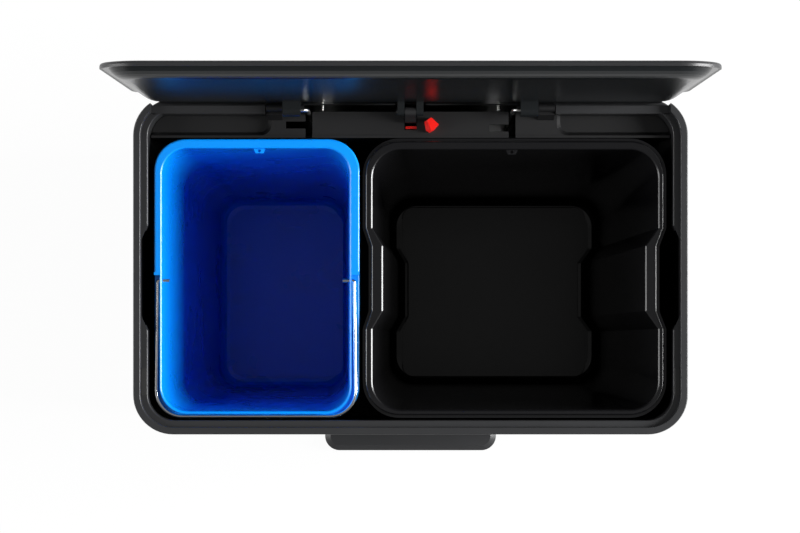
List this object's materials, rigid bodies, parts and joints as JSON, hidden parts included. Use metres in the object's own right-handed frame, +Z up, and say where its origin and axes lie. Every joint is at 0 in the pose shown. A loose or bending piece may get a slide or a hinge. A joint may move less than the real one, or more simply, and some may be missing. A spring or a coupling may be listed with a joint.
{
  "type": "double recycling bin",
  "caption": "Rectangular pedal bin with a rear-hinged lid held open, a lift-out blue bucket with a wire bail and a wider lift-out black bucket.",
  "frame": {"origin": "on the floor under the middle of the part's box as pictured, lid open", "axes": "+X to the right of the picture, +Y to the back, the hinge side, +Z up"},
  "size_m": [0.555, 0.3908, 0.9493],
  "materials": {
    "charcoal_casing": "satin moulded",
    "charcoal_inner": "satin moulded",
    "dark_liner": "smooth satin",
    "black_gloss": "smooth semi-gloss",
    "blue_plastic": "smooth semi-gloss",
    "red_plastic": "smooth",
    "grey_link": "smooth",
    "plated_steel": "bright plated",
    "chromed_wire": "bright",
    "screw_steel": "plated",
    "foot_rubber": "matte"
  },
  "bodies": {
    "casing": {"base_tray": "charcoal_casing", "rubber_feet": "foot_rubber", "outer_shell": "charcoal_casing", "top_rim": "charcoal_casing", "rim_bumpers": "foot_rubber", "hinge_deck": "charcoal_inner", "rear_panel": "charcoal_inner", "hinge_pins": "plated_steel", "link_guide": "charcoal_inner", "pedal_axle": "plated_steel", "axle_blocks": "charcoal_inner", "deck_screws": "screw_steel", "casing_screws": "screw_steel", "block_screws": "screw_steel", "guide_screws": "screw_steel"},
    "lid": {"lid_shell": "charcoal_casing", "lid_liner": "dark_liner", "centre_pin": "plated_steel"},
    "lift_wire": {"lift_wire": "plated_steel"},
    "stay_link": {"stay_link": "grey_link"},
    "latch": {"stay_open_latch": "red_plastic", "latch_clip": "plated_steel"},
    "pedal": {"pedal_lever": "charcoal_inner", "pedal_pad": "charcoal_casing", "pad_screws": "screw_steel"},
    "blue_bucket": {"blue_bucket": "blue_plastic"},
    "bail": {"bail_handle": "chromed_wire"},
    "black_bucket": {"black_bucket": "black_gloss"}
  },
  "joints": [
    {"name": "lid_hinge", "type": "hinge", "parent": "casing", "child": "lid", "pos_m": [0, 0.17428, 0.621], "axis": [-1, 0, 0], "range_deg": [-88.6, 0]},
    {"name": "pedal_hinge", "type": "hinge", "parent": "casing", "child": "pedal", "pos_m": [0, 0.02848, 0.03], "axis": [-1, 0, 0], "range_deg": [0, 8.98]},
    {"name": "lift_wire_hinge", "type": "hinge", "parent": "lid", "child": "lift_wire", "pos_m": [0, 0.17038, 0.63857], "axis": [-1, 0, 0], "range_deg": [0, 87.4]},
    {"name": "stay_link_hinge", "type": "hinge", "parent": "lid", "child": "stay_link", "pos_m": [0, 0.16963, 0.63097], "axis": [-1, 0, 0], "range_deg": [0, 70.9]},
    {"name": "latch_turn", "type": "hinge", "parent": "casing", "child": "latch", "pos_m": [0.0205, 0.15728, 0.6], "axis": [0, 0, -1], "range_deg": [0, 20]},
    {"name": "blue_lift", "type": "slide", "parent": "casing", "child": "blue_bucket", "axis": [0, 0, 1], "range_m": [0, 0.6]},
    {"name": "black_lift", "type": "slide", "parent": "casing", "child": "black_bucket", "axis": [0, 0, 1], "range_m": [0, 0.6]},
    {"name": "bail_hinge", "type": "hinge", "parent": "blue_bucket", "child": "bail", "pos_m": [-0.1546, 0.00063, 0.6162], "axis": [-1, 0, 0], "range_deg": [0, 105]}
  ],
  "couplings": [
    {"joint": "pedal_hinge", "follows": "lid_hinge", "ratio": -0.10124},
    {"joint": "lift_wire_hinge", "follows": "lid_hinge", "ratio": -0.9853},
    {"joint": "stay_link_hinge", "follows": "lid_hinge", "ratio": -0.8}
  ]
}
